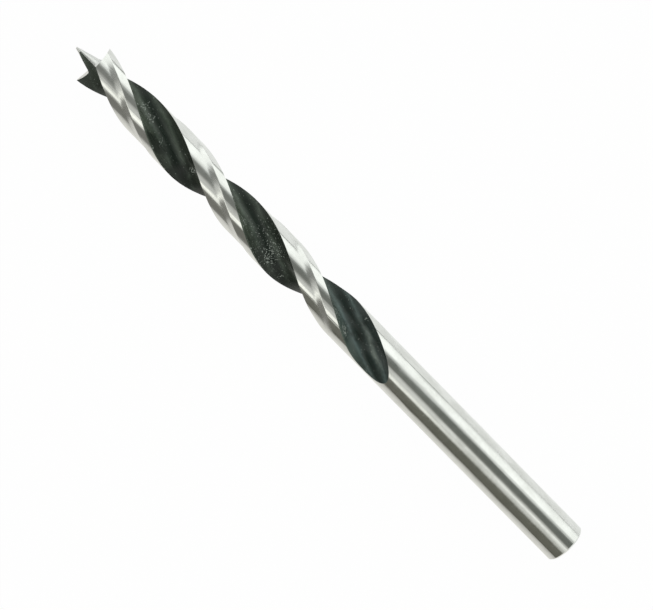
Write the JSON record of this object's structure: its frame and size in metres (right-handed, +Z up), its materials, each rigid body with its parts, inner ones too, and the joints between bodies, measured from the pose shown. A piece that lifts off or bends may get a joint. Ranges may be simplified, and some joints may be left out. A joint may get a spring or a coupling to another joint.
{
  "type": "brad point wood drill bit",
  "caption": "Brad point twist bit for wood: ground centre point with outer spurs, helical black flutes and a plain round shank for a chuck.",
  "frame": {"origin": "on the surface the bit lies on, under the middle of its length", "axes": "+X along the bit from its centre point to its shank end, +Z up, the bit lying on its side"},
  "size_m": [0.109, 0.007, 0.007],
  "materials": {
    "ground_steel": "bright ground tool steel on the shank, lands and tip, with black oxide left in the flutes"
  },
  "bodies": {
    "root": {"drill_bit": "ground_steel"}
  },
  "joints": []
}
